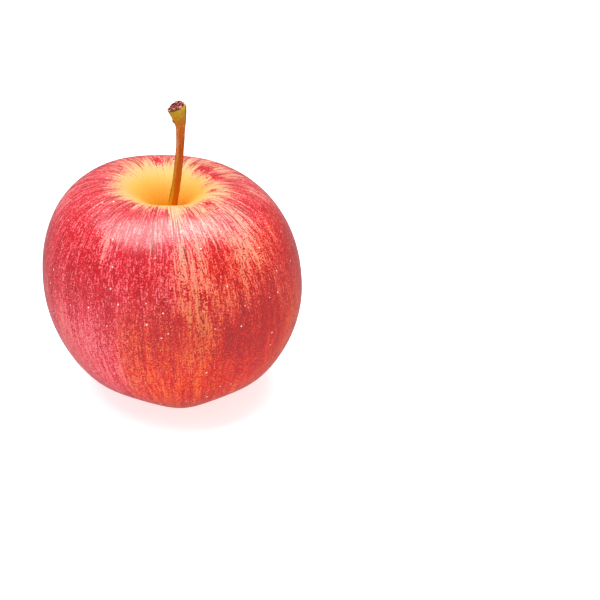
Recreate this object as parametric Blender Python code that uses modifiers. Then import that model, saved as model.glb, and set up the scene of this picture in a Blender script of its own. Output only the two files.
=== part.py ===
"""Dessert apple: a ripe, round fruit with its stem and the dried remains of its flower.

The fruit is one turned body, drawn in at five valleys, with a deep stem cavity on top and an
eye basin below. The stem, the five sepals, the ring of stamens and the style column are pieces
of their own. Metres, +Z up: the apple stands on the flats of its five lobes at z = 0.
"""
import math

import bmesh
import bpy
from mathutils import Vector

# Driving dimensions, in metres
FRUIT_RADIUS = 0.0375
FRUIT_HEIGHT = 0.0635            # foot to crest, on the fruit's axis
WAIST_HEIGHT = 0.5285 * FRUIT_HEIGHT
FOOT_RADIUS = 0.38 * FRUIT_RADIUS
CREST_RADIUS = 0.4325 * FRUIT_RADIUS
CAVITY_DEPTH = 0.0154            # crest to the foot of the stem
BASIN_DEPTH = 0.0085             # foot to the rim of the eye
FLAT_DEPTH = 0.0005              # how much of each lobe's tip is flattened
GAP = 0.0003                     # clearance between neighbouring pieces

# Lobes, and the lean of a fruit that grew lopsided
LOBES = 5
LOBE_PHASE = math.radians(-13)   # direction of the first lobe
FOOT_VALLEY = 0.0024             # rise of the valleys between the lobes, at the foot
FOOT_REACH = 0.50 * FRUIT_RADIUS
CREST_VALLEY = 0.0004            # dip of the same valleys, at the crest
CREST_REACH = 0.75 * FRUIT_RADIUS
FLANK_VALLEY = 0.014             # share of the radius lost in a valley low on the flank
LEAN = 0.056 * FRUIT_RADIUS      # shift of the crest towards -X
TILT = 0.0547                    # rise of the crest for each metre towards -X

SOCKET_RADIUS = 0.0018           # where the stem enters the flesh
SOCKET_DEPTH = 0.0015
EYE_RADIUS = 0.0022              # the open tube that held the flower
EYE_DEPTH = 0.0040

SEPALS = 5
SEPAL_LENGTH = 0.0060
SEPAL_HALF_WIDTH = 0.0014
SEPAL_THICKNESS = 0.0005
SEPAL_RING = 0.0029              # radius of the circle on which the sepals stand
SEPAL_SPLAY = math.radians(12)   # lean outwards at the root
SEPAL_CURL = math.radians(95)    # further turn outwards by the tip

TURNS = 60                       # faces round the fruit, a multiple of the lobes
MERGE = 0.00001

# Stem: reach towards +X, reach towards +Y, height above the cavity floor and radius, in millimetres
STEM_ROUTE = (
    (0.0, 0.0, -1.1, 1.45),
    (0.3, 0.0, 3.0, 1.42),
    (1.1, 0.1, 9.2, 1.33),
    (2.4, 0.2, 16.5, 1.25),
    (3.4, 0.4, 24.5, 1.16),
    (3.8, 0.6, 30.0, 1.24),
    (3.8, 0.8, 33.2, 1.55),
    (3.4, 0.9, 36.8, 2.35),
    (3.0, 0.9, 38.6, 2.70),
    (2.7, 0.9, 39.9, 2.45),
)

SKIN = ("skin", (0.62, 0.06, 0.06), 0.35)
BARK = ("stem_bark", (0.42, 0.20, 0.03), 0.55)
DRIED_LEAF = ("dried_sepal", (0.32, 0.22, 0.13), 0.80)
DRIED_FLOWER = ("dried_stamen", (0.12, 0.06, 0.03), 0.85)


def clear_scene():
    """Remove every object of the open scene."""
    for item in list(bpy.data.objects):
        bpy.data.objects.remove(item, do_unlink=True)


def new_material(finish):
    """Make a Principled material from a (name, colour, roughness) finish."""
    name, colour, roughness = finish
    material = bpy.data.materials.new(name)
    material.use_nodes = True
    shader = material.node_tree.nodes["Principled BSDF"]
    shader.inputs["Base Color"].default_value = (*colour, 1.0)
    shader.inputs["Roughness"].default_value = roughness
    return material


def add_object(name, data, material, parent):
    """Link new data to the apple's collection under its root, with one material."""
    data.materials.append(material)
    item = bpy.data.objects.new(name, data)
    parent.users_collection[0].objects.link(item)
    item.parent = parent
    return item


def smooth_step(value):
    """Ease a value from 0 to 1, clamped at both ends."""
    value = min(max(value, 0.0), 1.0)
    return value * value * (3.0 - 2.0 * value)


def arc(start, leave, arrive, end, count):
    """Points of a cubic curve in the (radius, height) plane, without its last point."""
    a, b, c, d = (Vector(point) for point in (start, leave, arrive, end))
    points = []
    for index in range(count):
        t = index / count
        s = 1.0 - t
        points.append(a * s**3 + b * (3 * s * s * t) + c * (3 * s * t * t) + d * t**3)
    return points


def fruit_profile():
    """Outline of the fruit from the foot of the stem, over the crest and flank, to the eye."""
    floor = FRUIT_HEIGHT - CAVITY_DEPTH
    shoulder = FRUIT_HEIGHT - WAIST_HEIGHT
    crest = (CREST_RADIUS, FRUIT_HEIGHT)
    waist = (FRUIT_RADIUS, WAIST_HEIGHT)
    foot = (FOOT_RADIUS, 0.0)
    rim = (EYE_RADIUS, BASIN_DEPTH)
    points = [Vector((0.0, floor - SOCKET_DEPTH)), Vector((SOCKET_RADIUS, floor - SOCKET_DEPTH))]
    points += arc((SOCKET_RADIUS, floor), (SOCKET_RADIUS + 0.0003, floor + 0.44 * CAVITY_DEPTH),
                  (0.50 * CREST_RADIUS, FRUIT_HEIGHT), crest, 12)
    points += arc(crest, (CREST_RADIUS + 0.60 * (FRUIT_RADIUS - CREST_RADIUS), FRUIT_HEIGHT),
                  (FRUIT_RADIUS, WAIST_HEIGHT + 0.57 * shoulder), waist, 13)
    points += arc(waist, (FRUIT_RADIUS, 0.47 * WAIST_HEIGHT),
                  (FOOT_RADIUS + 0.42 * (FRUIT_RADIUS - FOOT_RADIUS), 0.0), foot, 14)
    points += arc(foot, (0.62 * FOOT_RADIUS, 0.0), (0.50 * FOOT_RADIUS, BASIN_DEPTH), rim, 9)
    points += [Vector(rim), Vector((EYE_RADIUS, BASIN_DEPTH + EYE_DEPTH)),
               Vector((0.0, BASIN_DEPTH + EYE_DEPTH))]
    return points


def turned_mesh(name, profile, closed=False):
    """Turn a profile about the Z axis with a Screw modifier and return the welded mesh."""
    count = len(profile)
    edges = [(index, index + 1) for index in range(count - 1)]
    if closed:
        edges.append((count - 1, 0))
    outline = bpy.data.meshes.new(name + "_outline")
    outline.from_pydata([(radius, 0.0, height) for radius, height in profile], edges, [])
    blank = bpy.data.objects.new(name + "_blank", outline)
    bpy.context.scene.collection.objects.link(blank)
    screw = blank.modifiers.new("Turn", "SCREW")
    screw.steps = TURNS
    screw.render_steps = TURNS
    screw.use_merge_vertices = True
    screw.merge_threshold = MERGE
    solid = bpy.data.meshes.new_from_object(
        blank.evaluated_get(bpy.context.evaluated_depsgraph_get()))
    bpy.data.objects.remove(blank, do_unlink=True)
    bpy.data.meshes.remove(outline)
    solid.name = name
    shell = bmesh.new()
    shell.from_mesh(solid)
    bmesh.ops.remove_doubles(shell, verts=shell.verts, dist=MERGE)
    bmesh.ops.recalc_face_normals(shell, faces=shell.faces)
    shell.to_mesh(solid)
    shell.free()
    solid.shade_smooth()
    return solid


def valley(angle):
    """How deep a direction lies between two lobes: 0 on a lobe, 1 in the middle of a valley."""
    return 0.5 - 0.5 * math.cos(LOBES * (angle - LOBE_PHASE))


def axis_at(height):
    """Sideways place of the fruit's own axis at a height."""
    return -LEAN * height / FRUIT_HEIGHT


def grown(point):
    """Move a point of the evenly turned body to where it lies on the lobed, lopsided fruit."""
    radius = math.hypot(point.x, point.y)
    angle = math.atan2(point.y, point.x)
    height = point.z
    near_foot = smooth_step(1.0 - math.hypot(radius - FOOT_RADIUS, height) / FOOT_REACH)
    near_crest = smooth_step(
        1.0 - math.hypot(radius - CREST_RADIUS, height - FRUIT_HEIGHT) / CREST_REACH)
    depth = valley(angle)
    pinch = 1.0 - FLANK_VALLEY * depth * (1.0 - 0.6 * height / FRUIT_HEIGHT)
    height += depth * (FOOT_VALLEY * near_foot - CREST_VALLEY * near_crest)
    x = pinch * radius * math.cos(angle)
    y = pinch * radius * math.sin(angle)
    height -= TILT * x * point.z / FRUIT_HEIGHT
    return Vector((x + axis_at(point.z), y, max(height - FLAT_DEPTH, 0.0)))


def build_fruit(parent):
    """The fruit itself: one solid from the stem's socket to the eye."""
    mesh = turned_mesh("fruit", fruit_profile())
    for vertex in mesh.vertices:
        vertex.co = grown(vertex.co)
    add_object("fruit", mesh, new_material(SKIN), parent)


def build_stem(parent):
    """The stem: a slightly bowed round stalk, with the swollen end where it left the branch."""
    floor = FRUIT_HEIGHT - CAVITY_DEPTH - FLAT_DEPTH
    curve = bpy.data.curves.new("stem", "CURVE")
    curve.dimensions = "3D"
    curve.resolution_u = 4
    curve.bevel_depth = 0.001
    curve.bevel_resolution = 4
    curve.use_fill_caps = True
    spline = curve.splines.new("BEZIER")
    spline.bezier_points.add(len(STEM_ROUTE) - 1)
    for knot, (x, y, height, radius) in zip(spline.bezier_points, STEM_ROUTE):
        knot.co = (x / 1000 + axis_at(floor), y / 1000, floor + height / 1000)
        knot.radius = radius
        knot.handle_left_type = "AUTO"
        knot.handle_right_type = "AUTO"
    add_object("stem", curve, new_material(BARK), parent)


def sepal_point(across, along):
    """Place a point of a sepal that stands at +X: across from -1 to 1, along from 0 to 1."""
    turn = SEPAL_SPLAY + SEPAL_CURL * along * along
    mean_turn = SEPAL_SPLAY + SEPAL_CURL * along * along / 3.0
    width = SEPAL_HALF_WIDTH * (1.0 - 0.82 * along**1.6)
    cup = 0.35 * width * (1.0 - across * across)
    outwards = along * SEPAL_LENGTH * math.sin(mean_turn) + cup * math.cos(turn)
    down = along * SEPAL_LENGTH * math.cos(mean_turn) - cup * math.sin(turn)
    return Vector((SEPAL_RING + outwards, across * width, -down))


def build_sepal(index, parent):
    """One dried sepal: a pointed leaf that hangs from the rim of the eye and curls outwards."""
    name = f"sepal_{index + 1}"
    sheet = bmesh.new()
    bmesh.ops.create_grid(sheet, x_segments=4, y_segments=7, size=1.0)
    for vertex in sheet.verts:
        vertex.co = sepal_point(vertex.co.x, 0.5 + 0.5 * vertex.co.y)
    bmesh.ops.recalc_face_normals(sheet, faces=sheet.faces)
    mesh = bpy.data.meshes.new(name)
    sheet.to_mesh(mesh)
    sheet.free()
    mesh.shade_smooth()
    item = add_object(name, mesh, new_material(DRIED_LEAF), parent)
    root = BASIN_DEPTH - FLAT_DEPTH - GAP - 0.5 * SEPAL_THICKNESS
    item.location = (axis_at(BASIN_DEPTH), 0.0, root)
    item.rotation_euler.z = LOBE_PHASE + math.tau * index / SEPALS
    wall = item.modifiers.new("Thickness", "SOLIDIFY")
    wall.thickness = SEPAL_THICKNESS
    wall.offset = 0.0


def build_flower_remains(parent):
    """The ring of dried stamens and, inside it, the style column, both standing in the eye."""
    roof = BASIN_DEPTH + EYE_DEPTH - FLAT_DEPTH - GAP
    ring = [(0.0010, roof), (0.0017, roof), (0.0018, roof - 0.0035), (0.0021, roof - 0.0058),
            (0.0015, roof - 0.0066), (0.0011, roof - 0.0050)]
    column = [(0.0, roof), (0.0007, roof), (0.0006, roof - 0.0030), (0.0005, roof - 0.0055),
              (0.0008, roof - 0.0064), (0.0, roof - 0.0068)]
    for name, profile, closed in (("stamen_ring", ring, True), ("style_column", column, False)):
        item = add_object(name, turned_mesh(name, profile, closed), new_material(DRIED_FLOWER), parent)
        item.location.x = axis_at(BASIN_DEPTH)


def centre_on_origin(root, collection):
    """Shift the root so that the apple's box is centred over the origin, with its feet at z = 0."""
    bpy.context.view_layer.update()
    graph = bpy.context.evaluated_depsgraph_get()
    corners = []
    for item in collection.objects:
        if item.type != "EMPTY":
            solid = item.evaluated_get(graph)
            corners += [solid.matrix_world @ vertex.co for vertex in solid.to_mesh().vertices]
            solid.to_mesh_clear()
    root.location.x -= 0.5 * (min(c.x for c in corners) + max(c.x for c in corners))
    root.location.y -= 0.5 * (min(c.y for c in corners) + max(c.y for c in corners))
    bpy.context.view_layer.update()


def main():
    """Build the whole apple."""
    clear_scene()
    collection = bpy.data.collections.new("apple")
    bpy.context.scene.collection.children.link(collection)
    root = bpy.data.objects.new("apple_root", None)
    collection.objects.link(root)
    build_fruit(root)
    build_stem(root)
    for index in range(SEPALS):
        build_sepal(index, root)
    build_flower_remains(root)
    centre_on_origin(root, collection)


main()
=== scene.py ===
"""Looks of a whole dessert apple: streaked waxy skin, bark on the stem, a dried flower in the eye.

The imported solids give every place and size. Each sub-assembly is a class that models its pieces
and dresses them, and each finish is a small class that wires one material.
"""
import logging
import math
import random
from collections.abc import Callable, Iterator, Mapping, Sequence
from contextlib import contextmanager
from dataclasses import dataclass, field
from enum import Enum

import bmesh
import bpy
from mathutils import Matrix, Vector, noise


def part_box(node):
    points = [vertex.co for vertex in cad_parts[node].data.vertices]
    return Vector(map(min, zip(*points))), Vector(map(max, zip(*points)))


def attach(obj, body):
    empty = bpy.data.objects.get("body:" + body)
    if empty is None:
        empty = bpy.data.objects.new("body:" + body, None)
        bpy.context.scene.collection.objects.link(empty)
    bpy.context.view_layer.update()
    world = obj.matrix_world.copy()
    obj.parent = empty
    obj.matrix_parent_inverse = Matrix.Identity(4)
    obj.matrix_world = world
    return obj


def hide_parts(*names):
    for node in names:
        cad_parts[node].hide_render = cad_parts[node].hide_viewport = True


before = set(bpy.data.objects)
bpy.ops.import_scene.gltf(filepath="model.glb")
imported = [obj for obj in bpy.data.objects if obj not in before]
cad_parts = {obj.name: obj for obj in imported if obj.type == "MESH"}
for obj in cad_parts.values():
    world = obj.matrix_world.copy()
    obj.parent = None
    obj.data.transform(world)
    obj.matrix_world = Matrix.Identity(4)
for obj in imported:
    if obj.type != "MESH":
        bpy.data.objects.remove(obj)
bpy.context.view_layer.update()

BODY = "root"
MM = 0.001
WELD = 0.01 * MM
STRAIGHT = 1e-5     # a bend below this angle, in radians, isn't turned
LOG = logging.getLogger("apple")

# Places of a Mix node's colour sockets, several of which share one name
MIX_FACTOR, MIX_FIRST, MIX_SECOND, MIX_RESULT = 0, 6, 7, 2

Colour = tuple[float, float, float]
Stops = Sequence[tuple[float, Colour]]
WHITE: Colour = (1.0, 1.0, 1.0)


class Slot(Enum):
    """The record's finishes."""

    SKIN = "skin"
    BARK = "stem_bark"
    SEPAL = "dried_sepal"
    STAMEN = "dried_stamen"


# ---------------------------------------------------------------- shader kit


class Wire:
    """One output socket of a material's tree; its operators add Math nodes."""

    def __init__(self, board: "Board", socket: bpy.types.NodeSocket) -> None:
        """Wrap a socket that belongs to a board."""
        self.board = board
        self.socket = socket

    def maths(self, operation: str, *others: "Wire | float", clamp: bool = False) -> "Wire":
        """Add a Math node that starts from this value.

        Args:
            operation: the Math node's operation.
            others: the values for its further inputs.
            clamp: whether the result is held between 0 and 1.

        Returns:
            The result.
        """
        inputs = dict(enumerate((self, *others)))
        return self.board.node("ShaderNodeMath", {"operation": operation, "use_clamp": clamp}, inputs)

    def __add__(self, other: "Wire | float") -> "Wire":
        """Sum."""
        return self.maths("ADD", other)

    def __sub__(self, other: "Wire | float") -> "Wire":
        """Difference."""
        return self.maths("SUBTRACT", other)

    def __mul__(self, other: "Wire | float") -> "Wire":
        """Product."""
        return self.maths("MULTIPLY", other)

    __radd__ = __add__
    __rmul__ = __mul__

    def __rsub__(self, other: float) -> "Wire":
        """Number minus this value."""
        return self.maths("MULTIPLY_ADD", -1.0, other)

    def held(self) -> "Wire":
        """This value held between 0 and 1."""
        return self.maths("ADD", 0.0, clamp=True)

    def rise(self, low: float, high: float) -> "Wire":
        """Ease from 0 to 1, or from 1 to 0 where low is the larger one.

        Args:
            low: the value that gives 0.
            high: the value that gives 1.

        Returns:
            The eased value.
        """
        ends = (low, high, 0.0, 1.0) if low < high else (high, low, 1.0, 0.0)
        names = ("From Min", "From Max", "To Min", "To Max")
        return self.board.node("ShaderNodeMapRange", {"interpolation_type": "SMOOTHSTEP"},
                               {"Value": self, **dict(zip(names, ends))})

    def hump(self, start: float, peak: float, fade: float, end: float) -> "Wire":
        """Ease up from start to peak and down again from fade to end."""
        return self.rise(start, peak) * self.rise(end, fade)


class Board:
    """The node tree of one material or of the world, with one shader in it."""

    def __init__(self, owner: bpy.types.Material | bpy.types.World,
                 shader: str = "Principled BSDF") -> None:
        """Take a new material or world in hand.

        Args:
            owner: what the tree belongs to.
            shader: the name of the shader node that it comes with.
        """
        owner.use_nodes = True
        self.owner = owner
        self.tree = owner.node_tree
        self.shader = self.tree.nodes[shader]

    @classmethod
    def material(cls, name: str) -> "Board":
        """Start a new material."""
        return cls(bpy.data.materials.new(name))

    def node(self, kind: str, settings: Mapping[str, object], inputs: Mapping[str | int, object],
             output: str | int = 0) -> Wire:
        """Add a node of any kind.

        Args:
            kind: the node's type.
            settings: its settings; "stops" fills a colour ramp.
            inputs: values or wires for its sockets, by name or place.
            output: the socket that is wanted.

        Returns:
            The wanted output.
        """
        node = self.tree.nodes.new(kind)
        for key, setting in settings.items():
            if key == "stops":
                self.fill_ramp(node.color_ramp, setting)
            else:
                setattr(node, key, setting)
        self.feed(node, inputs)
        return Wire(self, node.outputs[output])

    def feed(self, node: bpy.types.Node, inputs: Mapping[str | int, object]) -> None:
        """Link wires to a node's sockets and set plain values on the others.

        Args:
            node: the node.
            inputs: values or wires for its sockets, by name or place.
        """
        for key, value in inputs.items():
            if isinstance(value, Wire):
                self.tree.links.new(value.socket, node.inputs[key])
            elif isinstance(value, tuple) and node.inputs[key].type == "RGBA":
                node.inputs[key].default_value = (*value, 1.0)
            else:
                node.inputs[key].default_value = value

    @staticmethod
    def fill_ramp(ramp: bpy.types.ColorRamp, stops: Stops) -> None:
        """Give a colour ramp its stops.

        Args:
            ramp: the ramp.
            stops: places and colours, in order.
        """
        while len(ramp.elements) < len(stops):
            ramp.elements.new(0.5)
        for element, (place, colour) in zip(ramp.elements, stops):
            element.position = place
            element.color = (*colour, 1.0)

    def ramp(self, value: Wire, stops: Stops) -> Wire:
        """A colour that runs through stops."""
        return self.node("ShaderNodeValToRGB", {"stops": stops}, {"Fac": value}, "Color")

    def attribute(self, name: str, output: str = "Vector") -> Wire:
        """A named attribute of the mesh."""
        settings = {"attribute_name": name, "attribute_type": "GEOMETRY"}
        return self.node("ShaderNodeAttribute", settings, {}, output)

    def place(self) -> Wire:
        """Object coordinates, in metres."""
        return self.node("ShaderNodeTexCoord", {}, {}, "Object")

    def stretch(self, vector: Wire, scale: tuple[float, float, float]) -> Wire:
        """Scale a vector on its three axes."""
        return self.node("ShaderNodeVectorMath", {"operation": "MULTIPLY"}, {0: vector, 1: scale})

    def shift(self, vector: Wire, offset: "Wire | tuple[float, float, float]") -> Wire:
        """Add an offset to a vector."""
        return self.node("ShaderNodeVectorMath", {"operation": "ADD"}, {0: vector, 1: offset})

    def parts(self, vector: Wire) -> tuple[Wire, ...]:
        """The three numbers of a vector."""
        return tuple(self.node("ShaderNodeSeparateXYZ", {}, {0: vector}, axis) for axis in "XYZ")

    def noise(self, vector: Wire, scale: float, detail: float = 2.0, rough: float = 0.5) -> Wire:
        """Smooth noise about 0.5."""
        inputs = {"Vector": vector, "Scale": scale, "Detail": detail, "Roughness": rough}
        return self.node("ShaderNodeTexNoise", {}, inputs)

    def cell_distance(self, vector: Wire, scale: float) -> Wire:
        """Distance to the nearest of scattered points, in cells."""
        return self.node("ShaderNodeTexVoronoi", {"feature": "F1"}, {"Vector": vector, "Scale": scale})

    def mix(self, share: "Wire | float", low: "Wire | Colour", high: "Wire | Colour") -> Wire:
        """Blend two colours.

        Args:
            share: how much of the second colour.
            low: the first colour.
            high: the second colour.

        Returns:
            The blend.
        """
        inputs = {MIX_FACTOR: share, MIX_FIRST: low, MIX_SECOND: high}
        return self.node("ShaderNodeMix", {"data_type": "RGBA"}, inputs, MIX_RESULT)

    def bump(self, height: Wire, strength: float, distance: float) -> Wire:
        """A normal disturbed by a height."""
        inputs = {"Height": height, "Strength": strength, "Distance": distance}
        return self.node("ShaderNodeBump", {}, inputs, "Normal")

    def finish(self, inputs: Mapping[str, object]) -> bpy.types.Material | bpy.types.World:
        """Set the shader's sockets and hand over the material or world."""
        self.feed(self.shader, inputs)
        return self.owner


# ---------------------------------------------------------------- finishes


@dataclass(frozen=True)
class Spot:
    """A soft-edged patch of the skin, placed by its direction and its share of the way to the eye."""

    heading: float       # degrees about the axis
    half_width: float    # degrees
    middle: float
    half_length: float
    amount: float


@dataclass(frozen=True)
class SkinFinish:
    """Waxy skin: ochre round the stem, a peach base whose pinker band round the shoulder is partly painted
    highlight, and over it crimson stipple in streaks.
    """

    # Colour along the way to the eye; the pale pink-peach stops at 0.18 and 0.28, round the upper shoulder,
    # are partly the skin's own colour and partly painted highlight
    ground_and_painted_highlight: Stops = (
        (0.00, (0.46, 0.19, 0.006)), (0.06, (0.72, 0.29, 0.008)), (0.12, (0.84, 0.39, 0.055)),
        (0.18, (0.84, 0.42, 0.22)), (0.28, (0.86, 0.41, 0.31)), (0.40, (0.84, 0.27, 0.10)),
        (0.55, (0.78, 0.17, 0.02)), (0.86, (0.80, 0.30, 0.05)), (1.00, (0.66, 0.36, 0.09)))
    pink_ground: Colour = (0.82, 0.20, 0.21)
    scarlet_gap: Colour = (0.92, 0.17, 0.085)
    crimson_gap: Colour = (0.90, 0.15, 0.20)
    scarlet: Colour = (0.72, 0.008, 0.004)
    crimson: Colour = (0.68, 0.006, 0.022)
    ember_gap: Colour = (0.86, 0.12, 0.012)
    ember: Colour = (0.70, 0.006, 0.002)
    dusk: Colour = (0.36, 0.003, 0.006)
    # Painted highlight: the colour of the soft box's glints on the skin's fine grain
    painted_glint: Colour = (1.00, 0.30, 0.28)
    hair: Colour = (0.32, 0.018, 0.02)
    speck: Colour = (0.10, 0.012, 0.006)
    pore: Colour = (0.98, 0.78, 0.66)
    # Painted shade: the near-black of a fine crease
    crease_shade: Colour = (0.10, 0.012, 0.008)
    sheen: Colour = (0.92, 0.84, 1.0)
    grain_scale: float = 2900.0    # the finest stipple, by the metre
    worm_scale: float = 2300.0     # and the longer grains between
    hair_stretch: tuple[float, float, float] = (74.0, 74.0, 14.0)
    speck_scale: float = 1150.0
    pore_scale: float = 320.0
    cool_heading: float = math.radians(-150)   # the side that is crimson, not scarlet
    cavity_edge: float = 0.168     # where the yellow round the stem ends
    spot_edge: float = 1.5         # how far a spot fades out, by its half width
    spot_core: float = 0.15        # how far it is full
    spot_ease: float = 0.75        # how much of its half length fades
    coat: float = 0.62
    # One slanting dark line, the painted shade of a fine crease
    painted_crease: Spot = Spot(-77.8, 0.42, 0.318, 0.034, 0.9)
    painted_crease_slant: float = 0.4
    # Where the yellow of the cavity reaches further out (or, below zero, less far)
    reach: tuple[Spot, ...] = (
        Spot(-79, 8, 0.2, 0.3, 0.050), Spot(-45, 30, 0.2, 0.3, 0.022), Spot(0, 32, 0.2, 0.3, 0.012),
        Spot(45, 26, 0.2, 0.3, -0.028), Spot(100, 32, 0.2, 0.3, 0.020), Spot(168, 16, 0.2, 0.3, -0.012))
    # Where the blush is thinner (or, below zero, denser). Besides real pale windows, some spots paint the
    # soft box's highlight and the reflection of the white surroundings into the colour, on the upper
    # shoulders and the lower left
    thin_blush_and_painted_highlight: tuple[Spot, ...] = (
        Spot(-77, 8, 0.38, 0.24, 0.40), Spot(-68, 18, 0.36, 0.24, 0.16), Spot(-45, 28, 0.24, 0.09, 0.36),
        Spot(-80, 10, 0.22, 0.06, 0.25), Spot(-104, 18, 0.26, 0.07, 0.20), Spot(-140, 14, 0.22, 0.05, 0.16),
        Spot(-124, 8, 0.285, 0.05, 0.18), Spot(-121, 2.2, 0.32, 0.045, 0.40),
        Spot(-132, 24, 0.60, 0.18, 0.34), Spot(-43, 9, 0.335, 0.07, 0.60),
        Spot(-33, 8, 0.26, 0.06, 0.30), Spot(30, 18, 0.20, 0.06, 0.46),
        Spot(62, 12, 0.20, 0.05, 0.40), Spot(135, 14, 0.20, 0.05, 0.20), Spot(70, 30, 0.45, 0.35, 0.35),
        Spot(20, 16, 0.5, 0.3, 0.18),
        Spot(155, 14, 0.5, 0.3, 0.25), Spot(-91, 3.4, 0.185, 0.022, -0.5), Spot(-118, 30, 0.41, 0.14, -0.26),
        Spot(-158, 18, 0.38, 0.16, -0.25), Spot(-58, 6, 0.34, 0.08, -0.30), Spot(-64, 7, 0.35, 0.07, -0.22),
        Spot(-97, 9, 0.54, 0.09, -0.28), Spot(-52, 16, 0.58, 0.18, -0.45), Spot(-8, 24, 0.38, 0.20, -0.32),
        Spot(-40, 14, 0.51, 0.12, -0.36), Spot(8, 12, 0.192, 0.03, -0.35),
        Spot(6, 13, 0.27, 0.06, 0.55), Spot(-24, 8, 0.325, 0.05, 0.22), Spot(48, 16, 0.215, 0.04, 0.30),
        Spot(150, 14, 0.21, 0.04, 0.32), Spot(-174, 12, 0.30, 0.05, 0.22), Spot(-62, 8, 0.54, 0.08, -0.40),
        Spot(-84, 4, 0.50, 0.06, -0.50), Spot(-90, 4, 0.39, 0.05, 0.30), Spot(-104, 8, 0.30, 0.05, -0.26),
        Spot(-14, 14, 0.40, 0.09, -0.40), Spot(6, 16, 0.34, 0.14, -0.24),
        Spot(-80, 1.4, 0.402, 0.036, -1.1), Spot(-71, 1.6, 0.43, 0.036, -1.0))
    # Lone red marks in the yellow of the cavity
    marks: tuple[Spot, ...] = (
        Spot(102, 7, 0.178, 0.028, 1.3), Spot(-8, 6, 0.155, 0.016, 1.6), Spot(-41, 6, 0.180, 0.017, 1.6),
        Spot(-52, 3.5, 0.172, 0.013, 0.9), Spot(47, 9, 0.172, 0.024, 0.95), Spot(27, 9, 0.176, 0.020, 1.00),
        Spot(17, 9, 0.147, 0.016, 0.70), Spot(-33, 8, 0.170, 0.016, 0.65))

    def spot(self, meridian: tuple[Wire, Wire, Wire], spot: Spot) -> Wire:
        """How much of a spot a point has.

        Args:
            meridian: the point's direction, as two numbers, and its share of the way to the eye.
            spot: where the spot is.

        Returns:
            Its amount at the middle, falling to nothing at its edge.
        """
        x, y, along = meridian
        angle = math.radians(spot.heading)
        edge = math.sin(math.radians(spot.half_width * self.spot_edge))
        core = math.sin(math.radians(spot.half_width * self.spot_core))
        aside = y * math.cos(angle) - x * math.sin(angle)
        facing = x * math.cos(angle) + y * math.sin(angle)
        side = aside.maths("ABSOLUTE").rise(edge, core) * facing.maths("GREATER_THAN", 0.0)
        start, end = spot.middle - spot.half_length, spot.middle + spot.half_length
        ease = spot.half_length * self.spot_ease
        return side * along.hump(start, start + ease, end - ease, end) * spot.amount

    def spots(self, meridian: tuple[Wire, Wire, Wire], spots: Sequence[Spot]) -> Wire:
        """The sum of several spots.

        Args:
            meridian: the point, as for one spot.
            spots: where the spots are.

        Returns:
            What they come to together.
        """
        total = self.spot(meridian, spots[0])
        for spot in spots[1:]:
            total = total + self.spot(meridian, spot)
        return total

    def build(self) -> bpy.types.Material:
        """Wire the material.

        Returns:
            The finished material.
        """
        board = Board.material("apple_skin")
        line = board.attribute("meridian")
        place = board.place()
        x, y, along = board.parts(line)
        meridian = (x, y, along)

        broad = board.noise(board.stretch(line, (6.0, 6.0, 4.0)), 1.0, 2.0) - 0.5
        streak = board.noise(board.stretch(line, (24.0, 24.0, 6.0)), 1.0, 2.0, 0.5) - 0.5
        thin = board.noise(board.stretch(line, (58.0, 58.0, 18.0)), 1.0, 2.0, 0.5) - 0.5
        dash = board.noise(board.stretch(line, (110.0, 110.0, 60.0)), 1.0, 1.0, 0.5) - 0.5
        grain = board.noise(place, self.grain_scale, 1.0, 0.6) - 0.5
        worm = board.noise(board.shift(place, (0.3, 0.1, 0.2)), self.worm_scale, 0.0) - 0.5

        # A warped share of the way keeps every edge feathered along the meridians
        course = along + thin * 0.06 + streak * 0.08 + broad * 0.05 + worm * 0.03 + grain * 0.02
        onset = (course - self.spots(meridian, self.reach)).rise(
            self.cavity_edge - 0.020, self.cavity_edge + 0.045)
        stray = worm * 0.05 + streak * 0.12
        warped = (x + stray + dash * 0.04, y + stray - dash * 0.03,
                  along + worm * 0.03 + thin * 0.06 + streak * 0.06)
        marks = self.spots(warped, self.marks)
        # Thinner blush: real pale windows, and in places painted highlight and painted reflection
        thinning_and_painted_highlight = self.spots(warped, self.thin_blush_and_painted_highlight)
        bare = along.rise(0.86, 0.97) * 0.55
        blush = (onset * 0.94 - bare - thinning_and_painted_highlight * onset + marks
                 + (broad * 0.7 + streak * 0.9 + thin * 0.5) * onset)

        # Crimson on the cool side and round the shoulder, ember red on the lower half
        side = x * math.cos(self.cool_heading) + y * math.sin(self.cool_heading) + broad * 0.6
        low = along.rise(0.38, 0.54)
        cool = ((side - low * 0.25).rise(0.15, 0.75) + along.rise(0.37, 0.25) * 0.7).held()
        deep = low * (1.0 - cool)
        gap = board.mix(deep, board.mix(cool, self.scarlet_gap, self.crimson_gap), self.ember_gap)
        red = board.mix(deep, board.mix(cool, self.scarlet, self.crimson), self.ember)

        # Ground, wash, stipple, its darkest grains, and painted highlight glints in its pale gaps
        # Base colour; its pinker band round the shoulder is partly painted highlight
        colour = board.ramp(along + worm * 0.03, self.ground_and_painted_highlight)
        colour = board.mix(cool * along.hump(0.26, 0.44, 0.80, 0.92) * 0.9, colour, self.pink_ground)
        wash = (blush + grain * 0.5 + dash * 0.6).rise(0.10, 0.95)
        colour = board.mix(wash, colour, gap)
        weave = (grain * (low * 0.8 + 2.3) + worm + dash * (2.0 - low)
                 + thin * 1.1 + onset * 0.25 - 0.25)
        stipple = (blush + weave).rise(0.52, 0.84)
        colour = board.mix(stipple * 0.96, colour, red)
        dusk = blush * 0.6 + grain * 2.3 + worm * 0.9 + dash * (1.6 - low * 0.7) + streak * 0.9
        colour = board.mix(dusk.rise(0.66, 0.86) * 0.75, colour, self.dusk)
        # Painted highlight: pale glints of the soft box in the stipple's gaps, weaker on the lower half and
        # none in the cavity
        painted_glint = (grain * 1.4 - worm * 1.2 - dash * 0.9 - blush * 0.10).rise(0.08, 0.32)
        colour = board.mix(painted_glint * onset * (0.50 - low * 0.32), colour, self.painted_glint)
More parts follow.
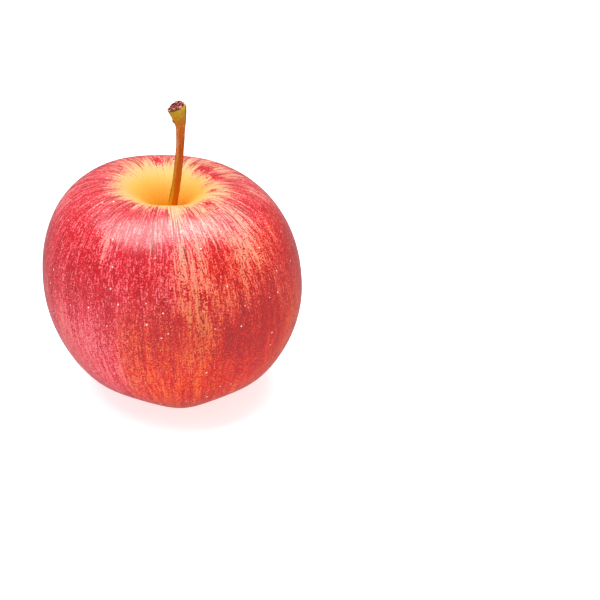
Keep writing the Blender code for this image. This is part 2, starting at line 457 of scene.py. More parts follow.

        # Dark hair lines, specks, the painted shade of a crease, and pale pores
        hair = board.noise(board.stretch(line, self.hair_stretch), 1.0, 1.0) - 0.5
        hairs = (hair + course.hump(0.13, 0.18, 0.23, 0.36) * 0.22).rise(0.23, 0.29)
        colour = board.mix(hairs * 0.90, colour, self.hair)
        cluster = board.noise(place, 260.0, 1.0).rise(0.40, 0.50)
        speck = board.cell_distance(place, self.speck_scale).rise(0.31, 0.20) * cluster
        speck = speck * (onset + marks) * blush.rise(1.05, 0.65) * (1.0 - cool * 0.85)
        colour = board.mix(speck * 0.95, colour, self.speck)
        # Painted shade of a fine crease: a thin slanting dark line, with no groove in the shape
        slanted = (x - (along - self.painted_crease.middle) * self.painted_crease_slant, y, along)
        painted_crease = self.spot(slanted, self.painted_crease)
        colour = board.mix(painted_crease, colour, self.crease_shade)
        pores = board.cell_distance(place, self.pore_scale).rise(0.105, 0.055) * onset
        pores = pores * board.noise(place, 330.0, 0.0).rise(0.36, 0.60)
        colour = board.mix(pores * 0.95, colour, self.pore)

        relief = dash * 0.7 + grain * 0.6 + pores * 0.3
        dark = (speck + painted_crease).rise(0.1, 0.7)
        rough = grain * 0.25 + streak * 0.1 - onset * 0.22 + 0.52
        return board.finish({
            "Base Color": colour, "Roughness": rough, "IOR": 1.5, "Specular IOR Level": 0.28,
            "Coat Weight": onset * self.coat * (1.0 - dark), "Coat Roughness": 0.32,
            "Sheen Weight": 0.09, "Sheen Roughness": 0.25, "Sheen Tint": self.sheen,
            "Normal": board.bump(relief, 0.35, 0.08 * MM)})


@dataclass(frozen=True)
class BarkFinish:
    """Smooth young bark: olive below and on the knob, orange-brown between, a dark scar."""

    sunny: Stops = (
        (0.00, (0.78, 0.34, 0.008)), (0.22, (0.72, 0.21, 0.004)), (0.50, (0.56, 0.12, 0.003)),
        (0.66, (0.48, 0.075, 0.004)), (0.80, (0.54, 0.115, 0.004)), (0.87, (0.46, 0.17, 0.006)),
        (0.93, (0.46, 0.29, 0.012)), (1.00, (0.56, 0.36, 0.04)))
    shady: Stops = (
        (0.00, (0.72, 0.42, 0.015)), (0.35, (0.62, 0.32, 0.010)), (0.55, (0.56, 0.20, 0.03)),
        (0.72, (0.62, 0.24, 0.08)), (0.84, (0.48, 0.16, 0.02)), (0.93, (0.42, 0.27, 0.012)),
        (1.00, (0.40, 0.22, 0.03)))
    wood: Stops = (
        (0.44, (0.05, 0.004, 0.004)), (0.54, (0.26, 0.02, 0.02)), (0.60, (0.70, 0.30, 0.26)),
        (0.68, (0.92, 0.70, 0.62)))
    # Painted shade: the dark colour laid along the stem's two flanks, facing ±X
    edge: Colour = (0.15, 0.045, 0.006)
    groove: Colour = (0.26, 0.06, 0.006)
    fleck: Colour = (0.90, 0.66, 0.34)
    rind: Colour = (0.035, 0.008, 0.006)

    def build(self) -> bpy.types.Material:
        """Wire the material.

        Returns:
            The finished material.
        """
        board = Board.material("stem_bark")
        place = board.place()
        height = board.attribute("height", "Fac")
        scar = board.attribute("scar", "Fac")
        side = board.attribute("side", "Fac")
        rim = board.attribute("rim", "Fac")
        mottle = board.noise(place, 700.0, 3.0, 0.6)
        fibre = board.noise(board.stretch(place, (2200.0, 2200.0, 240.0)), 1.0, 3.0, 0.6)
        level = height + (mottle - 0.5) * 0.10
        sunny = board.ramp(level, self.sunny)
        shady = board.ramp(level, self.shady)
        across = side + (mottle - 0.5) * 0.4
        colour = board.mix(across.rise(0.30, 0.42), shady, sunny)
        # Painted shade: darker where the bark faces ±X, along both flanks of the stem
        outline = across.rise(0.14, 0.03) + across.rise(0.90, 0.98)
        colour = board.mix(outline * 0.6, colour, self.edge)
        colour = board.mix(fibre.rise(0.55, 0.72) * 0.45, colour, self.groove)
        fleck = board.noise(place, 1500.0, 1.0).rise(0.68, 0.74) * level.rise(0.55, 0.9)
        colour = board.mix(fleck * 0.7, colour, self.fleck)
        shred = board.noise(place, 1500.0, 3.0, 0.65)
        colour = board.mix(scar, colour, board.ramp(shred, self.wood))
        colour = board.mix(rim * (shred.rise(0.7, 0.5) * 0.4 + 0.6), colour, self.rind)
        relief = fibre * 0.6 + mottle * 0.6 + shred * scar
        return board.finish({
            "Base Color": colour, "Roughness": scar * 0.3 + 0.5 + (mottle - 0.5) * 0.2,
            "Specular IOR Level": 0.14, "Normal": board.bump(relief, 0.5, 0.15 * MM)})


@dataclass(frozen=True)
class SepalFinish:
    """Dried leaf: brown-green with pale wool and dark tips."""

    leaf: Stops = (
        (0.0, (0.40, 0.30, 0.14)), (0.30, (0.26, 0.17, 0.075)), (0.65, (0.15, 0.075, 0.03)),
        (1.0, (0.055, 0.022, 0.012)))
    wool: Colour = (0.70, 0.56, 0.38)
    vein: Colour = (0.10, 0.05, 0.02)

    def build(self) -> bpy.types.Material:
        """Wire the material.

        Returns:
            The finished material.
        """
        board = Board.material("dried_leaf")
        place = board.place()
        reach = board.attribute("reach", "Fac")
        vein = board.noise(board.stretch(place, (2600.0, 2600.0, 700.0)), 1.0, 3.0, 0.6)
        patch = board.noise(place, 900.0, 2.0)
        fluff = board.noise(place, 3200.0, 2.0, 0.7)
        colour = board.ramp(reach + (patch - 0.5) * 0.5, self.leaf)
        wool = (fluff + reach.rise(0.75, 0.0) * 0.22 - 0.02).rise(0.50, 0.68)
        colour = board.mix(wool * 0.7, colour, self.wool)
        colour = board.mix(vein.rise(0.55, 0.70) * 0.4, colour, self.vein)
        lumps = patch + fluff * 0.5
        return board.finish({
            "Base Color": colour, "Roughness": 0.75 + (lumps - 0.5) * 0.3,
            "Sheen Weight": 0.05, "Normal": board.bump(vein + lumps, 0.6, 0.1 * MM)})


@dataclass(frozen=True)
class StamenFinish:
    """Dried flower parts: dark brown threads with paler, dusty ends."""

    name: str = "dried_flower"
    root: Colour = (0.16, 0.08, 0.035)
    tip: Colour = (0.30, 0.19, 0.09)
    dust: Colour = (0.05, 0.025, 0.012)

    def build(self) -> bpy.types.Material:
        """Wire the material.

        Returns:
            The finished material.
        """
        board = Board.material(self.name)
        place = board.place()
        reach = board.attribute("reach", "Fac")
        dust = board.noise(place, 2400.0, 2.0)
        colour = board.mix(reach.rise(0.5, 0.95), self.root, self.tip)
        colour = board.mix(dust.rise(0.5, 0.75) * 0.5, colour, self.dust)
        return board.finish({
            "Base Color": colour, "Roughness": 0.8 - dust * 0.2,
            "Normal": board.bump(dust, 0.5, 0.08 * MM)})


# ---------------------------------------------------------------- modelling kit


class Bench:
    """Hand tools: each starts from a known selection."""

    @staticmethod
    def take(piece: bpy.types.Object) -> None:
        """Select one piece only and make it the active one.

        Args:
            piece: the piece.
        """
        bpy.ops.object.select_all(action="DESELECT")
        piece.select_set(True)
        bpy.context.view_layer.objects.active = piece

    @staticmethod
    @contextmanager
    def edit(piece: bpy.types.Object) -> Iterator[bpy.types.Object]:
        """Work on a piece in edit mode, and leave edit mode afterwards.

        Args:
            piece: the piece.

        Returns:
            The piece, while the work lasts.
        """
        Bench.take(piece)
        bpy.ops.object.mode_set(mode="EDIT")
        try:
            yield piece
        finally:
            bpy.ops.object.mode_set(mode="OBJECT")

    @staticmethod
    def started(name: str) -> bpy.types.Object:
        """Name the primitive that was just added.

        Args:
            name: the piece's name.

        Returns:
            The piece.
        """
        piece = bpy.context.active_object
        piece.name = name
        piece.data.name = name
        return piece

    @staticmethod
    def apply(piece: bpy.types.Object, kind: str, **settings: object) -> None:
        """Add a modifier with its settings and apply it.

        Args:
            piece: the piece.
            kind: the modifier's type.
            settings: its settings.
        """
        Bench.take(piece)
        modifier = piece.modifiers.new(kind.title(), kind)
        for key, setting in settings.items():
            setattr(modifier, key, setting)
        bpy.ops.object.modifier_apply(modifier=modifier.name)

    @staticmethod
    def join(pieces: Sequence[bpy.types.Object], name: str) -> bpy.types.Object:
        """Join several pieces into the first one.

        Args:
            pieces: the pieces.
            name: the joined piece's name.

        Returns:
            The joined piece.
        """
        Bench.take(pieces[0])
        for piece in pieces:
            piece.select_set(True)
        bpy.ops.object.join()
        return Bench.started(name)

    @staticmethod
    def nudge(piece: bpy.types.Object, offset: Callable[[Vector, Vector], Vector]) -> None:
        """Move every vertex of a finished piece.

        Args:
            piece: the piece.
            offset: from a vertex's place and normal, how far it moves.
        """
        normals = [vertex.normal.copy() for vertex in piece.data.vertices]
        places = [vertex.co.copy() for vertex in piece.data.vertices]
        moved = []
        for place, normal in zip(places, normals):
            moved.extend(place + offset(place, normal))
        piece.data.vertices.foreach_set("co", moved)
        piece.data.update()

    @staticmethod
    def write(piece: bpy.types.Object, name: str, values: Sequence[float]) -> None:
        """Store one number for each vertex as an attribute."""
        layer = piece.data.attributes.new(name, "FLOAT", "POINT")
        layer.data.foreach_set("value", values)

    @staticmethod
    def hand_over(piece: bpy.types.Object, slot: Slot, node: str,
                  material: bpy.types.Material) -> None:
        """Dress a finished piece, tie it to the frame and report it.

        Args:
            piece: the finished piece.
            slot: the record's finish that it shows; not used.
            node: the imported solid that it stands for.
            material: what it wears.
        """
        Bench.take(piece)
        bpy.ops.object.transform_apply(location=True, rotation=True, scale=True)
        piece.data.shade_smooth()
        piece.data.materials.clear()
        piece.data.materials.append(material)
        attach(piece, BODY)
        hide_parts(node)
        LOG.info("%s: %d faces, stands for %s", piece.name, len(piece.data.polygons), node)


def centre_of(node: str) -> Vector:
    """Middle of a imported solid's box."""
    low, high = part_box(node)
    return (low + high) / 2


def stem_foot() -> Vector:
    """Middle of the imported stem's lowest millimetre.

    Returns:
        The place, in metres.
    """
    low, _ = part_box("stem")
    foot = [v.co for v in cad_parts["stem"].data.vertices if v.co.z < low.z + 1 * MM]
    return sum(foot, Vector()) / len(foot)


def swept(points: Sequence[Vector], count: int) -> list[Vector]:
    """Points along the smooth curve through others, as many for each span.

    Args:
        points: points of any dimension.
        count: points for each span.

    Returns:
        The finer points, both ends included.
    """
    ends = [points[0] * 2 - points[1], *points, points[-1] * 2 - points[-2]]
    route = []
    for before, start, end, after in zip(ends, ends[1:], ends[2:], ends[3:]):
        for index in range(count):
            t = index / count
            route.append(0.5 * (2 * start + (end - before) * t
                                + (2 * before - 5 * start + 4 * end - after) * t**2
                                + (3 * start - before - 3 * end + after) * t**3))
    return [*route, points[-1].copy()]


def extrude_tube(name: str, stations: Sequence[tuple[Vector, float]], sides: int) -> bpy.types.Object:
    """Model a round stalk by extruding a disc from station to station.

    Args:
        name: the new piece's name.
        stations: centre and radius of each ring.
        sides: faces round the stalk.

    Returns:
        The closed stalk, in object mode.
    """
    (first, radius), (second, _) = stations[:2]
    heading = (second - first).normalized()
    bpy.ops.object.select_all(action="DESELECT")
    bpy.ops.mesh.primitive_circle_add(
        vertices=sides, radius=radius, fill_type="NGON", location=first,
        rotation=heading.to_track_quat("Z", "Y").to_euler())
    piece = Bench.started(name)
    bpy.ops.object.transform_apply(location=True, rotation=True, scale=True)
    with Bench.edit(piece):
        bpy.ops.mesh.select_all(action="SELECT")
        previous, size = first, radius
        for index, (centre, ring) in enumerate(stations[1:], start=1):
            bpy.ops.mesh.extrude_region_move(TRANSFORM_OT_translate={"value": centre - previous})
            after = stations[min(index + 1, len(stations) - 1)][0]
            turned = (after - previous).normalized()
            turn = heading.rotation_difference(turned)
            if turn.angle > STRAIGHT:
                shape = bmesh.from_edit_mesh(piece.data)
                picked = [vertex for vertex in shape.verts if vertex.select]
                bmesh.ops.rotate(shape, verts=picked, cent=centre, matrix=turn.to_matrix())
                bmesh.update_edit_mesh(piece.data)
            share = ring / size
            bpy.ops.transform.resize(value=(share, share, share), center_override=centre)
            previous, size, heading = centre, ring, turned
        bpy.ops.mesh.select_all(action="SELECT")
        bpy.ops.mesh.normals_make_consistent(inside=False)
    return piece


# ---------------------------------------------------------------- the apple


@dataclass
class Fruit:
    """The fruit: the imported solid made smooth, a little uneven, and marked along its meridians."""

    refinement: int = 2
    unevenness: float = 0.16 * MM
    swell_size: float = 13 * MM
    swell_detail: float = 2.3      # how much finer the second swell is
    foot_height: float = 2 * MM    # the unevenness fades out below this
    quad_angle: float = math.radians(60)
    core_share: float = 0.48       # radius of the ring round which the outline turns, by half width
    first_angle: float = math.radians(135)   # outline's angle at the stem's foot
    last_angle: float = math.radians(-124)   # and at the rim of the eye
    steps: int = 60

    def build(self) -> bpy.types.Object:
        """Model and dress the fruit.

        Returns:
            The finished piece.
        """
        piece = self.smooth_copy()
        self.roughen(piece)
        self.mark_meridians(piece)
        Bench.hand_over(piece, Slot.SKIN, "fruit", SkinFinish().build())
        return piece

    def smooth_copy(self) -> bpy.types.Object:
        """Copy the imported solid, weld it, restore its four-sided faces and subdivide them.

        Returns:
            The smooth copy.
        """
        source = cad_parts["fruit"]
        piece = bpy.data.objects.new("apple_fruit", source.data.copy())
        bpy.context.scene.collection.objects.link(piece)
        piece.data.name = "apple_fruit"
        with Bench.edit(piece):
            bpy.ops.mesh.select_all(action="SELECT")
            bpy.ops.mesh.remove_doubles(threshold=WELD)
            bpy.ops.mesh.tris_convert_to_quads(
                face_threshold=self.quad_angle, shape_threshold=self.quad_angle)
        Bench.apply(piece, "SUBSURF", levels=self.refinement, render_levels=self.refinement)
        return piece

    def roughen(self, piece: bpy.types.Object) -> None:
        """Press the surface in here and there, as a grown thing is never a perfect round.

        Args:
            piece: the fruit.
        """
        def dent(place: Vector, normal: Vector) -> Vector:
            """How far one point goes in; nothing where the apple stands on the table.

            Args:
                place: the point.
                normal: the skin's normal there.

            Returns:
                How it moves.
            """
            swell = (noise.noise(place / self.swell_size)
                     + 0.5 * noise.noise(place * self.swell_detail / self.swell_size))
            clear = min(max(place.z / self.foot_height, 0.0), 1.0)
            return normal * -self.unevenness * (0.5 + 0.33 * swell) * clear

        Bench.nudge(piece, dent)

    def mark_meridians(self, piece: bpy.types.Object) -> None:
        """Store each point's direction round the axis and its share of the way to the eye.

        Args:
            piece: the fruit.
        """
        low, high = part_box("fruit")
        eye = centre_of("stamen_ring")
        crown = stem_foot()
        core_radius = self.core_share * (high.x - low.x) / 2
        core_height = 0.5 * high.z
        points = []
        for vertex in piece.data.vertices:
            share = (vertex.co.z - eye.z) / (crown.z - eye.z)
            axis = eye.lerp(crown, share)
            aside = Vector((vertex.co.x - axis.x, vertex.co.y - axis.y))
            radius = max(aside.length, WELD)
            outline = Vector((radius - core_radius, vertex.co.z - core_height))
            points.append((aside / radius, math.atan2(outline.y, outline.x), outline.length))
        travelled = self.travel([(angle, distance) for _, angle, distance in points])
        values = []
        for direction, angle, _ in points:
            values += [direction.x, direction.y, travelled(angle)]
        layer = piece.data.attributes.new("meridian", "FLOAT_VECTOR", "POINT")
        layer.data.foreach_set("vector", values)

    def travel(self, outline: Sequence[tuple[float, float]]) -> Callable[[float], float]:
        """Measure the way along the outline from the stem to the eye.

        Args:
            outline: angle and distance of each point of the skin, seen from the core ring.

        Returns:
            A function from an angle to its share of the way.
        """
        sums = [0.0] * self.steps
        counts = [0] * self.steps
        span = (self.first_angle - self.last_angle) / (self.steps - 1)
        for angle, distance in outline:
            index = round((self.first_angle - angle) / span)
            if 0 <= index < self.steps:
                sums[index] += distance
                counts[index] += 1
        rims = [total / max(count, 1) for total, count in zip(sums, counts)]
        ways = [0.0]
        for before, after in zip(rims, rims[1:]):
            ways.append(ways[-1] + math.hypot(after - before, before * span))

        def share(angle: float) -> float:
            """Share of the way at an angle.

            Args:
                angle: the angle, seen from the core ring.

            Returns:
                The share, from 0 to 1.
            """
            step = min(max((self.first_angle - angle) / span, 0.0), self.steps - 1.001)
            index = int(step)
            way = ways[index] + (ways[index + 1] - ways[index]) * (step - index)
            return way / ways[-1]

        return share


@dataclass
class Stem:
    """The stem: an extruded stalk, swollen and broken off at the top."""

    sides: int = 20
    fineness: int = 4
    # Reach along +X and +Y, height above the cavity floor, and radius, in millimetres
    route: Sequence[tuple[float, float, float, float]] = (
        (-0.1, 0.0, -1.0, 1.55), (0.0, 0.0, -0.2, 1.60), (0.3, 0.0, 3.0, 1.42), (1.1, 0.1, 9.2, 1.32),
        (2.4, 0.2, 16.5, 1.25), (3.4, 0.4, 24.5, 1.16), (3.8, 0.6, 30.0, 1.24), (3.85, 0.8, 33.2, 1.52),
        (3.45, 0.9, 36.2, 2.25), (3.0, 0.9, 38.2, 2.78), (3.0, 0.9, 39.3, 2.52), (3.05, 0.9, 40.0, 1.7),
        (3.1, 0.9, 40.3, 0.7))
    socket: float = 1.1 * MM       # how far the stem's foot stands below the cavity floor
    scar_lean: float = math.radians(-33)
    scar_place: tuple[float, float, float] = (1.6, 0.4, 38.5)   # placed like the route
    scar_rim: float = 0.25 * MM
    scar_depth: float = 0.35 * MM
    nub: tuple[float, float, float] = (2.2, 0.3, 34.6)   # the stub of a bract, placed like the route
    nub_size: float = 0.55 * MM
    nub_height: float = 0.45 * MM
    knob_height: float = 7 * MM
    ridge_scale: Vector = field(default_factory=lambda: Vector((900, 900, 120)))   # by the metre
    ridge_depth: float = 0.05 * MM
    lump_scale: float = 420.0
    lump_depth: float = 0.08 * MM
    splinter_scales: tuple[float, float] = (2200.0, 4600.0)
    splinter_depth: float = 0.34 * MM

    def build(self) -> bpy.types.Object:
        """Model and dress the stem.

        Returns:
            The finished piece.
        """
        base = self.foot()
        stations = [(base + Vector(point[:3]) * MM, point[3] * MM)
                    for point in swept([Vector(row) for row in self.route], self.fineness)]
        piece = extrude_tube("apple_stem", stations, self.sides)
        plane = self.break_off(piece, base)
        Bench.apply(piece, "SUBSURF", levels=2, render_levels=2)
        self.weather(piece, base, plane)
        Bench.hand_over(piece, Slot.BARK, "stem", BarkFinish().build())
        return piece

    def foot(self) -> Vector:
        """Find where the stem's axis meets the cavity floor.

        Returns:
            The place, in metres.
        """
        low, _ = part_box("stem")
        centre = stem_foot()
        return Vector((centre.x, centre.y, low.z + self.socket))

    def break_off(self, piece: bpy.types.Object, base: Vector) -> tuple[Vector, Vector]:
        """Cut the knob's upper left side away and hollow the broken face.

        Args:
            piece: the stalk.
            base: the stem's foot.

        Returns:
            A point of the broken face and its normal.
        """
        point = base + Vector(self.scar_place) * MM
        normal = Matrix.Rotation(self.scar_lean, 3, "Y") @ Vector((0, 0, 1))
        with Bench.edit(piece):
            bpy.ops.mesh.select_all(action="SELECT")
            bpy.ops.mesh.bisect(plane_co=point, plane_no=normal, use_fill=True, clear_outer=True)
            bpy.ops.mesh.select_mode(type="FACE")
            bpy.ops.mesh.inset(thickness=self.scar_rim)
            bpy.ops.mesh.inset(thickness=self.scar_depth)
            bpy.ops.transform.translate(value=-normal * self.scar_depth)
            bpy.ops.mesh.inset(thickness=2 * self.scar_rim)
        return point, normal

    def weather(self, piece: bpy.types.Object, base: Vector, plane: tuple[Vector, Vector]) -> None:
        """Ridge the bark, splinter the broken face, and store height, side, scar and rim.

        Args:
            piece: the stem.
            base: its foot.
            plane: a point of the broken face and its normal.
        """
        point, normal = plane
        low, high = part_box("stem")
        broken = [vertex.co for vertex in piece.data.vertices
                  if abs((vertex.co - point).dot(normal)) < 0.1 * MM]
        middle = sum(broken, Vector()) / len(broken)
        reach = max((place - middle).length for place in broken)
        nub = base + Vector(self.nub) * MM
        heights, sides, scars, rims = [], [], [], []

        def wear(place: Vector, outward: Vector) -> Vector:
            """How far one point moves, noting its height, side, scar and dark rim.

            Args:
                place: the point.
                outward: the bark's normal there.

            Returns:
                How it moves.
            """
            above = (place - point).dot(normal)
            aside = (place - middle - normal * above).length / reach
            inside = min(max((0.98 - aside) / 0.14, 0.0), 1.0)
            sunk = (0.50 + 0.70 * inside) * MM
            face = min(max((above + sunk) / (0.3 * MM), 0.0), 1.0) * (place.z > high.z - self.knob_height)
            knot = math.exp(-((place - nub).length / self.nub_size)**2)
            heights.append((place.z - low.z) / (high.z - low.z))
            sides.append(0.5 + 0.5 * outward.x)
            scars.append(face * inside)
            rims.append(min(face * (1 - inside) + knot * 1.4, 1.0))
            ridge = noise.noise(place * self.ridge_scale)
            lump = noise.noise(place * self.lump_scale)
            coarse, fine = (noise.noise(place * scale) for scale in self.splinter_scales)
            bark = outward * (ridge * self.ridge_depth + lump * self.lump_depth
                              + knot * self.nub_height)
            return bark + normal * (coarse + 0.6 * fine) * self.splinter_depth * face

        Bench.nudge(piece, wear)
        for name, values in (("height", heights), ("side", sides), ("scar", scars), ("rim", rims)):
            Bench.write(piece, name, values)


@dataclass
class DriedFlower:
    """What is left of the flower in the eye: five sepals, stamens and styles."""

    sepals: int = 5
    sepal_ring: float = 2.9 * MM
    sepal_length: float = 6.0 * MM
    sepal_half_width: float = 1.35 * MM
    sepal_segments: int = 7
    taper: float = 0.93            # how much narrower a sepal is at its tip
    cup: float = 0.4               # its hollow, by its half width
    crinkle_scale: float = 1400.0
    crinkle_depth: float = 0.08 * MM
    splay: float = math.radians(12)
    curl: float = math.radians(95)
    thickness: float = 0.35 * MM
    hairs: int = 70                # on each sepal
    hair_length: float = 0.8 * MM
    hair_radius: float = 0.035 * MM
    hair_zone: float = 0.55        # how far along a sepal they grow
    hair_tilt: float = 0.7
    stamens: int = 18
    stamen_length: float = 5.6 * MM
    stamen_circle: float = 1.35 * MM
    stamen_radius: float = 0.12 * MM
    styles: int = 5
    style_length: float = 1.05 * 5.6 * MM
    style_circle: float = 0.4 * MM
    style_radius: float = 0.17 * MM
    dice: random.Random = field(default_factory=lambda: random.Random(11))

    def build(self) -> list[bpy.types.Object]:
        """Model and dress every piece of the dried flower.

        Returns:
            The finished pieces.
        """
        finish = SepalFinish().build()
        pieces = []
        for index in range(self.sepals):
            node = f"sepal_{index + 1}"
            piece = self.sepal(node)
            Bench.hand_over(piece, Slot.SEPAL, node, finish)
            pieces.append(piece)
        dark = StamenFinish().build()
        stamens = self.threads("apple_stamens", self.stamens, self.stamen_circle,
                               self.stamen_radius, self.stamen_length)
        Bench.hand_over(stamens, Slot.STAMEN, "stamen_ring", dark)
        pale = StamenFinish("dried_styles", (0.20, 0.12, 0.05), (0.12, 0.06, 0.03)).build()
        styles = self.threads("apple_styles", self.styles, self.style_circle,
                              self.style_radius, self.style_length)
        Bench.hand_over(styles, Slot.STAMEN, "style_column", pale)
        return [*pieces, stamens, styles]

    def sepal(self, node: str) -> bpy.types.Object:
        """Model one sepal: a grid bent to a curled leaf in its packed place, then thickened.

        Args:
            node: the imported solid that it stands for.

        Returns:
            The sepal with its hairs.
        """
        centre = centre_of(node)
        eye = centre_of("stamen_ring")
        heading = math.atan2(centre.y - eye.y, centre.x - eye.x)
        _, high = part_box(node)
        splay = self.splay + self.dice.uniform(-0.08, 0.08)
        curl = self.curl * self.dice.uniform(0.85, 1.12)
        bpy.ops.object.select_all(action="DESELECT")
        bpy.ops.mesh.primitive_grid_add(
            x_subdivisions=4, y_subdivisions=self.sepal_segments, size=1.0)
        piece = Bench.started(f"apple_{node}")
        reaches = []
        for vertex in piece.data.vertices:
            across, along = vertex.co.x * 2, vertex.co.y + 0.5
            mean = splay + curl * along**2 / 3
            turn = splay + curl * along**2
            width = self.sepal_half_width * (1 - self.taper * along**1.7) * (1 + 0.06 * math.sin(9 * along))
            cup = self.cup * width * (1 - across**2)
            out = along * self.sepal_length * math.sin(mean) + cup * math.cos(turn)
            down = along * self.sepal_length * math.cos(mean) - cup * math.sin(turn)
            vertex.co = (self.sepal_ring + out, across * width, -down)
            reaches.append(along)
        Bench.write(piece, "reach", reaches)
        piece.data.transform(Matrix.Translation((eye.x, eye.y, high.z - 0.1 * MM))
                             @ Matrix.Rotation(heading, 4, "Z"))
        with Bench.edit(piece):
            bpy.ops.mesh.select_all(action="SELECT")
            bpy.ops.mesh.normals_make_consistent(inside=False)
        Bench.apply(piece, "SOLIDIFY", thickness=self.thickness, offset=0.0)
        Bench.apply(piece, "SUBSURF", levels=2, render_levels=2)
        Bench.nudge(piece, lambda place, normal: (
            normal * noise.noise(place * self.crinkle_scale) * self.crinkle_depth))
        return self.woolly(piece, node)

    def woolly(self, leaf: bpy.types.Object, node: str) -> bpy.types.Object:
        """Add pale hairs to the part of a sepal next to the fruit and join them to it.

        Args:
            leaf: the bare sepal.
            node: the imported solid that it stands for.

        Returns:
            The sepal with its hairs.
        """
        bpy.ops.object.select_all(action="DESELECT")
        bpy.ops.mesh.primitive_cone_add(vertices=3, radius1=self.hair_radius, radius2=0.0,
                                        depth=self.hair_length, end_fill_type="NOTHING")
        first = Bench.started(f"{node}_hair")
        Bench.write(first, "reach", [0.0] * len(first.data.vertices))
        low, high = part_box("sepal_1")
        limit = high.z - self.hair_zone * (high.z - low.z)
        spots = [vertex for vertex in leaf.data.vertices if vertex.co.z > limit]
        hairs = [leaf]
        for spot in self.dice.sample(spots, self.hairs):
            tilt = Vector([self.dice.uniform(-self.hair_tilt, self.hair_tilt) for _ in range(3)])
            turn = (spot.normal + tilt).to_track_quat("Z", "Y").to_matrix().to_4x4()
            hair = bpy.data.objects.new(f"{node}_hair", first.data.copy())
            bpy.context.scene.collection.objects.link(hair)
            hair.data.transform(Matrix.Translation(spot.co) @ turn)
            hairs.append(hair)
        bpy.data.objects.remove(first)
        return Bench.join(hairs, f"apple_{node}")

    def threads(self, name: str, count: int, ring: float, radius: float,
                length: float) -> bpy.types.Object:
        """Model a ring of dried threads, each with a swollen end.

        Args:
            name: the joined piece's name.
            count: how many threads.
            ring: radius of the circle on which they stand.
            radius: of one thread.
            length: of one thread.

        Returns:
            The threads as one piece.
        """
        _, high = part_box("stamen_ring")
        eye = centre_of("stamen_ring")
        made = []
        for index in range(count):
            angle = math.tau * (index + self.dice.uniform(-0.25, 0.25)) / count
            out = Vector((math.cos(angle), math.sin(angle), 0.0))
            drop = length * self.dice.uniform(0.78, 1.0)
            bow = self.dice.uniform(-0.2, 0.35) * MM
            lean = Vector((-out.y, out.x, 0.0)) * self.dice.uniform(-0.35, 0.35) * MM
            start = Vector((eye.x, eye.y, high.z)) + out * ring
            knots = [start, start + out * bow * 0.4 - Vector((0, 0, drop * 0.4)),
                     start + out * bow + lean * 0.5 - Vector((0, 0, drop * 0.8)),
                     start + out * bow * 0.7 + lean - Vector((0, 0, drop))]
            route = swept(knots, 2)
            radii = [radius] * (len(route) - 2) + [radius * 2.3, radius * 1.1]
            made.append(extrude_tube(f"{name}_{index}", list(zip(route, radii)), 6))
        piece = Bench.join(made, name)
        Bench.apply(piece, "SUBSURF", levels=1, render_levels=1)
        reaches = [(high.z - vertex.co.z) / length for vertex in piece.data.vertices]
        Bench.write(piece, "reach", reaches)
        return piece


# ---------------------------------------------------------------- the studio


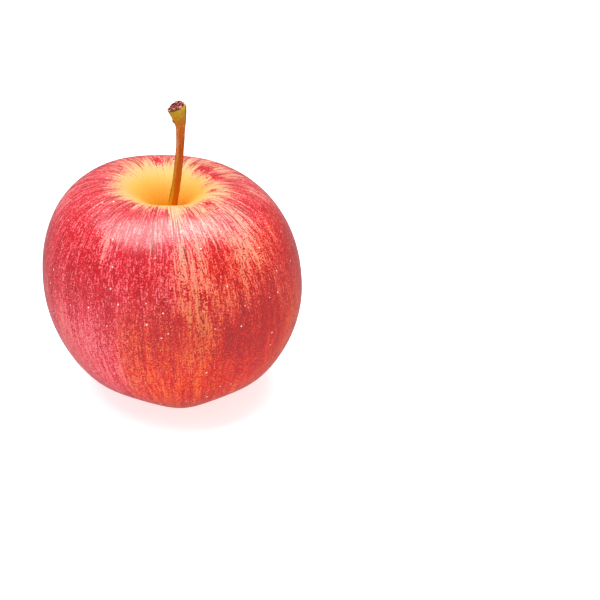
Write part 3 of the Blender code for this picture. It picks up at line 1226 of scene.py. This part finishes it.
@dataclass
class Studio:
    """A white table, soft light from above and behind, and the camera."""

    floor_size: float = 6.0
    floor_drop: float = 0.02 * MM  # keeps the table top clear of the flats that stand on it
    floor_grey: Colour = (0.80, 0.80, 0.80)
    floor_glow: float = 0.70
    box_place: Vector = field(default_factory=lambda: Vector((-0.03, 0.05, 0.75)))
    box_size: tuple[float, float] = (1.00, 0.52)
    box_watts: float = 10.1
    elevation: float = math.radians(29.0)
    view_angle: float = math.radians(16.0)
    distance: float = 0.618
    aim_aside: float = 0.489       # camera's aim to the right of the fruit, by its width
    aim_height: float = 0.4027     # and above the table, by the fruit's height
    room: float = 0.35             # how bright the room is as a light
    seen_room: float = 1.02        # and where it's seen behind the table
    mirrored_room: float = 0.22    # and in the gloss of the skin

    def build(self) -> None:
        """Set up floor, light and camera."""
        self.floor()
        self.light()
        self.camera()
        scene = bpy.context.scene
        scene.view_settings.view_transform = "Standard"
        scene.view_settings.look = "None"

    def floor(self) -> None:
        """Lay the table top."""
        bpy.ops.object.select_all(action="DESELECT")
        bpy.ops.mesh.primitive_plane_add(size=self.floor_size, location=(0.0, 0.0, -self.floor_drop))
        table = Bench.started("table_top")
        board = Board.material("white_table")
        table.data.materials.append(board.finish({
            "Base Color": self.floor_grey, "Roughness": 0.6, "Specular IOR Level": 0.2,
            "Emission Color": WHITE, "Emission Strength": self.floor_glow}))
        table.visible_glossy = False

    def light(self) -> None:
        """Hang a large soft box over the table, in a pale room."""
        self.panel("soft_box", self.box_place, self.box_size, self.box_watts)
        board = Board(bpy.data.worlds.new("pale_room"), "Background")
        seen = board.node("ShaderNodeLightPath", {}, {}, "Is Camera Ray")
        mirrored = board.node("ShaderNodeLightPath", {}, {}, "Is Glossy Ray")
        strength = seen * (self.seen_room - self.room) + mirrored * (self.mirrored_room - self.room)
        bpy.context.scene.world = board.finish({"Color": WHITE, "Strength": strength + self.room})

    def panel(self, name: str, place: Vector, size: tuple[float, float], watts: float) -> None:
        """Hang one rectangular light, turned towards the apple.

        Args:
            name: what it's called.
            place: its middle.
            size: width and height.
            watts: power.
        """
        lamp = bpy.data.lights.new(name, "AREA")
        lamp.shape = "RECTANGLE"
        lamp.size, lamp.size_y = size
        lamp.energy = watts
        holder = bpy.data.objects.new(name, lamp)
        bpy.context.scene.collection.objects.link(holder)
        holder.location = place
        holder.visible_camera = False
        holder.rotation_euler = (place - centre_of("fruit")).to_track_quat("Z", "Y").to_euler()

    def camera(self) -> None:
        """Place the camera; it looks down at the apple, which stands left of its aim."""
        low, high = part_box("fruit")
        data = bpy.data.cameras.new("camera")
        data.sensor_width = 36.0
        data.lens = data.sensor_width / 2 / math.tan(self.view_angle / 2)
        camera = bpy.data.objects.new("camera", data)
        bpy.context.scene.collection.objects.link(camera)
        aim = Vector((self.aim_aside * (high.x - low.x), 0.0, self.aim_height * high.z))
        back = Vector((0.0, -math.cos(self.elevation), math.sin(self.elevation)))
        camera.location = aim + back * self.distance
        camera.rotation_euler = back.to_track_quat("Z", "Y").to_euler()
        bpy.context.scene.camera = camera


def main() -> None:
    """Build the apple and its studio."""
    logging.basicConfig(level=logging.INFO, format="%(name)s: %(message)s")
    Fruit().build()
    Stem().build()
    DriedFlower().build()
    Studio().build()


if __name__ == "__main__":
    main()
